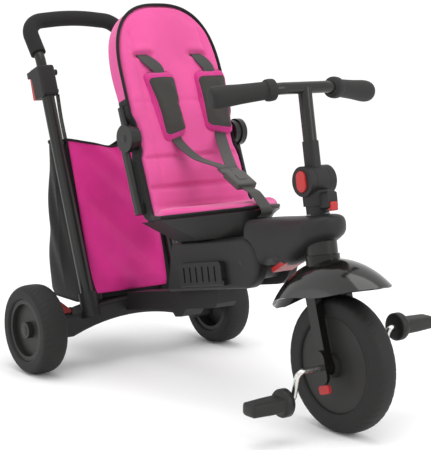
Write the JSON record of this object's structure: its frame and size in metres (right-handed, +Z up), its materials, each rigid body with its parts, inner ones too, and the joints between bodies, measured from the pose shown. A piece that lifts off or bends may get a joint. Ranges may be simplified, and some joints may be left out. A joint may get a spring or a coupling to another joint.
{
  "type": "children tricycle",
  "caption": "Children's folding tricycle with a reclining padded seat, harness, push handle, storage bag, fold-out footrests and pedals on the front wheel",
  "frame": {"origin": "on the floor, under the middle of the box that bounds the tricycle", "axes": "+X forward, +Y to the rider's left, +Z up"},
  "size_m": [0.9594, 0.482, 0.6946],
  "materials": {
    "body_plastic": "matte moulded black",
    "gloss_plastic": "glossy moulded black",
    "grey_plastic": "matte moulded dark grey",
    "red_plastic": "satin red",
    "buckle_plastic": "matte mid grey",
    "hub_plastic": "matte dark grey",
    "tyre_foam": "matte black tyre",
    "grip_rubber": "soft black grip",
    "handle_foam": "soft black foam",
    "black_tube": "satin black paint",
    "steel": "bright steel",
    "pink_fabric": "bright pink woven",
    "bag_fabric": "deep pink woven",
    "black_fabric": "black woven",
    "webbing": "grey webbing"
  },
  "bodies": {
    "chassis": {"rear_beam": "body_plastic", "spine": "body_plastic", "rear_axles": "steel", "handle_tube_right": "black_tube", "handle_tube_left": "black_tube", "handle_clamp_right": "body_plastic", "handle_clamp_left": "body_plastic", "bag_body": "black_fabric", "bag_front": "bag_fabric", "bag_straps": "webbing", "body_shell_right": "body_plastic", "body_shell_left": "body_plastic", "body_screws": "steel", "seat_shell": "grey_plastic", "seat_pad": "pink_fabric", "seat_tubes": "black_tube", "hinge_pins": "steel", "crotch_strap": "webbing", "lower_straps": "webbing", "buckle": "buckle_plastic"},
    "push_handle": {"push_handle": "black_tube", "foam_grip": "handle_foam"},
    "clamp_lever_right": {"clamp_lever_right": "red_plastic"},
    "clamp_lever_left": {"clamp_lever_left": "red_plastic"},
    "backrest": {"back_shell": "grey_plastic", "back_pocket": "pink_fabric", "back_pad": "pink_fabric", "back_tubes": "black_tube", "shoulder_straps": "webbing", "shoulder_pads": "black_fabric"},
    "front_arm": {"arm_shell_right": "body_plastic", "arm_shell_left": "body_plastic", "fold_tongue": "body_plastic", "head_tube": "black_tube", "head_bushes": "grey_plastic"},
    "fold_lever": {"fold_lever": "red_plastic"},
    "steering": {"fork": "gloss_plastic", "fender": "gloss_plastic", "hub_covers": "gloss_plastic", "column_base": "body_plastic", "stem_pin": "steel"},
    "steering_lock": {"steering_lock": "red_plastic"},
    "clutch_tab": {"clutch_tab": "red_plastic"},
    "stem_button": {"stem_button": "red_plastic"},
    "handlebar": {"stem_knuckle": "body_plastic", "handlebar": "black_tube", "grips": "grip_rubber"},
    "front_wheel": {"front_tyre": "tyre_foam", "front_hub": "hub_plastic"},
    "crank": {"crank": "steel"},
    "pedal_right": {"pedal_right": "body_plastic"},
    "pedal_left": {"pedal_left": "body_plastic"},
    "rear_wheel_right": {"rear_tyre_right": "tyre_foam", "rear_hub_right": "hub_plastic"},
    "rear_wheel_left": {"rear_tyre_left": "tyre_foam", "rear_hub_left": "hub_plastic"},
    "footrest_right": {"footrest_right": "body_plastic"},
    "footrest_left": {"footrest_left": "body_plastic"},
    "brake_pedal": {"brake_pedal": "red_plastic"},
    "buckle_button": {"buckle_button": "buckle_plastic"}
  },
  "joints": [
    {"name": "push_handle_slide", "type": "slide", "parent": "chassis", "child": "push_handle", "axis": [-0.3453, 0, 0.9385], "range_m": [0, 0.28]},
    {"name": "clamp_lever_right_turn", "type": "hinge", "parent": "chassis", "child": "clamp_lever_right", "pos_m": [-0.42661, -0.108, 0.55437], "axis": [0, 1, 0], "range_deg": [0, 80]},
    {"name": "clamp_lever_left_turn", "type": "hinge", "parent": "chassis", "child": "clamp_lever_left", "pos_m": [-0.42661, 0.108, 0.55437], "axis": [0, 1, 0], "range_deg": [0, 80]},
    {"name": "backrest_fold", "type": "hinge", "parent": "chassis", "child": "backrest", "pos_m": [-0.07426, 0, 0.455], "axis": [0, 1, 0], "range_deg": [0, 75]},
    {"name": "frame_fold", "type": "hinge", "parent": "chassis", "child": "front_arm", "pos_m": [0.15992, 0, 0.25468], "axis": [0, 1, 0], "range_deg": [0, 60]},
    {"name": "fold_lever_pull", "type": "hinge", "parent": "front_arm", "child": "fold_lever", "pos_m": [0.27186, 0, 0.28083], "axis": [0, -1, 0], "range_deg": [0, 20], "stiffness_Nm_per_rad": 0.06, "springref_deg": -22.92},
    {"name": "steering_turn", "type": "hinge", "parent": "front_arm", "child": "steering", "pos_m": [0.30774, 0, 0.335], "axis": [-0.1805, 0, 0.9836], "range_deg": [-45, 45]},
    {"name": "steering_lock_press", "type": "slide", "parent": "steering", "child": "steering_lock", "axis": [-0.9836, 0, -0.1805], "range_m": [0, 0.003], "stiffness_N_per_m": 300, "springref_m": -0.002},
    {"name": "clutch_tab_slide", "type": "slide", "parent": "steering", "child": "clutch_tab", "axis": [0.2924, 0, -0.9563], "range_m": [0, 0.006]},
    {"name": "stem_button_press", "type": "slide", "parent": "steering", "child": "stem_button", "axis": [0, 1, 0], "range_m": [0, 0.004], "stiffness_N_per_m": 300, "springref_m": -0.002},
    {"name": "stem_fold", "type": "hinge", "parent": "steering", "child": "handlebar", "pos_m": [0.29474, 0, 0.40582], "axis": [0, 1, 0], "range_deg": [0, 95]},
    {"name": "front_wheel_spin", "type": "hinge", "parent": "steering", "child": "front_wheel", "pos_m": [0.36674, 0, 0.113], "axis": [0, 1, 0], "continuous": true},
    {"name": "crank_spin", "type": "hinge", "parent": "steering", "child": "crank", "pos_m": [0.36674, 0, 0.113], "axis": [0, 1, 0], "continuous": true},
    {"name": "pedal_right_spin", "type": "hinge", "parent": "crank", "child": "pedal_right", "pos_m": [0.35549, -0.1375, 0.06428], "axis": [0, 1, 0], "continuous": true},
    {"name": "pedal_left_spin", "type": "hinge", "parent": "crank", "child": "pedal_left", "pos_m": [0.37799, 0.1375, 0.16172], "axis": [0, 1, 0], "continuous": true},
    {"name": "rear_wheel_right_spin", "type": "hinge", "parent": "chassis", "child": "rear_wheel_right", "pos_m": [-0.25826, -0.215, 0.085], "axis": [0, 1, 0], "continuous": true},
    {"name": "rear_wheel_left_spin", "type": "hinge", "parent": "chassis", "child": "rear_wheel_left", "pos_m": [-0.25826, 0.215, 0.085], "axis": [0, 1, 0], "continuous": true},
    {"name": "footrest_right_fold", "type": "hinge", "parent": "chassis", "child": "footrest_right", "pos_m": [0.0567, -0.0531, 0.2025], "axis": [0.9833, 0, 0.1822], "range_deg": [0, 90]},
    {"name": "footrest_left_fold", "type": "hinge", "parent": "chassis", "child": "footrest_left", "pos_m": [0.0567, 0.0531, 0.2025], "axis": [-0.9833, 0, -0.1822], "range_deg": [0, 90]},
    {"name": "brake_pedal_press", "type": "hinge", "parent": "chassis", "child": "brake_pedal", "pos_m": [-0.24326, -0.165, 0.114], "axis": [0, -1, 0], "range_deg": [0, 12], "stiffness_Nm_per_rad": 0.25, "springref_deg": -11.46},
    {"name": "buckle_button_press", "type": "slide", "parent": "chassis", "child": "buckle_button", "axis": [-0.4226, 0, -0.9063], "range_m": [0, 0.002], "stiffness_N_per_m": 300, "springref_m": -0.002}
  ],
  "couplings": [
    {"joint": "crank_spin", "follows": "front_wheel_spin", "ratio": 1}
  ]
}
